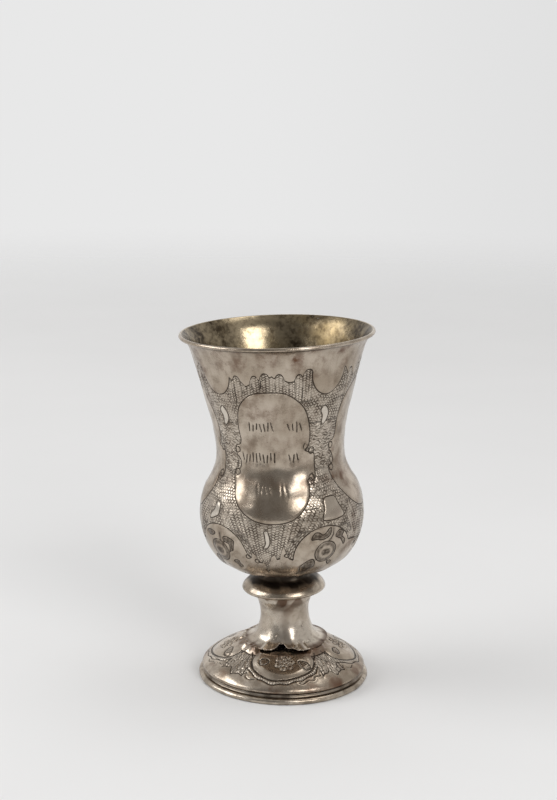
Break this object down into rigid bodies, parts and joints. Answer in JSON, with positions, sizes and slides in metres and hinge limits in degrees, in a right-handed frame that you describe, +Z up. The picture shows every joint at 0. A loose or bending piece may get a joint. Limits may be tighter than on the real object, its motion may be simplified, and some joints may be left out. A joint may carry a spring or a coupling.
{
  "type": "kiddush cup",
  "caption": "Old engraved silver wine goblet with a flared mouth, round bulb, knop collar, waisted stem torn at its base and leaning slightly, and a domed foot.",
  "frame": {"origin": "on the standing plane, under the middle of the whole cup's bounding box; the foot's own centre is 4 mm to +X of it, because the lip overhangs to -X", "axes": "+Z up through the cup; the cup leans 2.4 degrees from the foot towards -X; -Y is the front with the main cartouche"},
  "size_m": [0.0707, 0.0704, 0.1313],
  "materials": {
    "engraved_silver": "old engraved sterling silver, softly worn, with dark tarnish in the cut lines",
    "polished_silver": "plain raised silver, hand worn and lightly pitted, with brown stains",
    "tarnished_silver": "plain silver moulding with brown-black tarnish in its hollows"
  },
  "bodies": {
    "root": {"bowl": "engraved_silver", "collar": "tarnished_silver", "stem": "polished_silver", "foot": "engraved_silver", "foot_rim": "tarnished_silver"}
  },
  "joints": []
}
